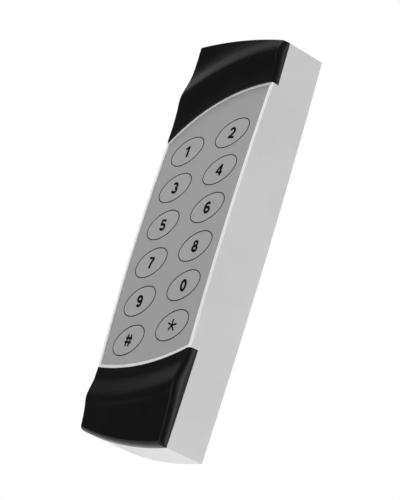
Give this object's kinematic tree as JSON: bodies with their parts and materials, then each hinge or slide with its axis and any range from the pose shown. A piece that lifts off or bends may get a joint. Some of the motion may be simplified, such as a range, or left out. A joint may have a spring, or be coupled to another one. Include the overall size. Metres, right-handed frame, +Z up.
{
  "type": "keypad access reader",
  "caption": "Slim wall reader with a crowned metal housing, black end caps and two staggered columns of oval push keys.",
  "frame": {"origin": "middle of the flat face that lies on the wall", "axes": "+Z up along the long side, -Y out of the front, +X to the right seen from the front"},
  "size_m": [0.0476, 0.0224, 0.1552],
  "materials": {
    "satin_metal": "satin silver",
    "black_cap": "semi-gloss black",
    "grey_face": "fine matt grey",
    "grey_key": "fine matt grey with black numerals",
    "silicone": "translucent grey",
    "steel": "plain",
    "board": "green solder resist",
    "plate_plastic": "moulded black",
    "brass": "plain",
    "foam": "black",
    "ferrite": "dark sheet",
    "copper": "enamelled copper",
    "terminal_green": "green",
    "red_lens": "tinted",
    "green_lens": "tinted",
    "chip_black": "moulded",
    "white_plastic": "moulded"
  },
  "bodies": {
    "reader_body": {"housing": "satin_metal", "upper_cap": "black_cap", "lower_cap": "black_cap", "face_plate": "grey_face", "key_mat": "silicone", "snap_domes": "steel", "main_board": "board", "board_screws": "steel", "housing_screws": "steel", "back_plate": "plate_plastic", "threaded_inserts": "brass", "rear_gasket": "foam", "cable_grommet": "foam", "ferrite_sheet": "ferrite", "antenna_coil": "copper", "terminal_block": "terminal_green", "terminal_screws": "steel", "red_led": "red_lens", "green_led": "green_lens", "buzzer": "chip_black", "capacitor": "chip_black", "microcontroller": "chip_black", "reader_chip": "chip_black", "tamper_switch": "chip_black", "tamper_spring": "steel"},
    "key_1_body": {"key_1": "grey_key"},
    "key_2_body": {"key_2": "grey_key"},
    "key_3_body": {"key_3": "grey_key"},
    "key_4_body": {"key_4": "grey_key"},
    "key_5_body": {"key_5": "grey_key"},
    "key_6_body": {"key_6": "grey_key"},
    "key_7_body": {"key_7": "grey_key"},
    "key_8_body": {"key_8": "grey_key"},
    "key_9_body": {"key_9": "grey_key"},
    "key_0_body": {"key_0": "grey_key"},
    "key_hash_body": {"key_hash": "grey_key"},
    "key_star_body": {"key_star": "grey_key"},
    "tamper_plunger_body": {"tamper_plunger": "white_plastic"}
  },
  "joints": [
    {"name": "key_1_press", "type": "slide", "parent": "reader_body", "child": "key_1_body", "axis": [0, 1, 0], "range_m": [0, 0.0006], "stiffness_N_per_m": 600},
    {"name": "key_2_press", "type": "slide", "parent": "reader_body", "child": "key_2_body", "axis": [0, 1, 0], "range_m": [0, 0.0006], "stiffness_N_per_m": 600},
    {"name": "key_3_press", "type": "slide", "parent": "reader_body", "child": "key_3_body", "axis": [0, 1, 0], "range_m": [0, 0.0006], "stiffness_N_per_m": 600},
    {"name": "key_4_press", "type": "slide", "parent": "reader_body", "child": "key_4_body", "axis": [0, 1, 0], "range_m": [0, 0.0006], "stiffness_N_per_m": 600},
    {"name": "key_5_press", "type": "slide", "parent": "reader_body", "child": "key_5_body", "axis": [0, 1, 0], "range_m": [0, 0.0006], "stiffness_N_per_m": 600},
    {"name": "key_6_press", "type": "slide", "parent": "reader_body", "child": "key_6_body", "axis": [0, 1, 0], "range_m": [0, 0.0006], "stiffness_N_per_m": 600},
    {"name": "key_7_press", "type": "slide", "parent": "reader_body", "child": "key_7_body", "axis": [0, 1, 0], "range_m": [0, 0.0006], "stiffness_N_per_m": 600},
    {"name": "key_8_press", "type": "slide", "parent": "reader_body", "child": "key_8_body", "axis": [0, 1, 0], "range_m": [0, 0.0006], "stiffness_N_per_m": 600},
    {"name": "key_9_press", "type": "slide", "parent": "reader_body", "child": "key_9_body", "axis": [0, 1, 0], "range_m": [0, 0.0006], "stiffness_N_per_m": 600},
    {"name": "key_0_press", "type": "slide", "parent": "reader_body", "child": "key_0_body", "axis": [0, 1, 0], "range_m": [0, 0.0006], "stiffness_N_per_m": 600},
    {"name": "key_hash_press", "type": "slide", "parent": "reader_body", "child": "key_hash_body", "axis": [0, 1, 0], "range_m": [0, 0.0006], "stiffness_N_per_m": 600},
    {"name": "key_star_press", "type": "slide", "parent": "reader_body", "child": "key_star_body", "axis": [0, 1, 0], "range_m": [0, 0.0006], "stiffness_N_per_m": 600},
    {"name": "tamper_press", "type": "slide", "parent": "reader_body", "child": "tamper_plunger_body", "axis": [0, -1, 0], "range_m": [0, 0.0012], "stiffness_N_per_m": 300, "deforming": ["tamper_spring"]}
  ]
}
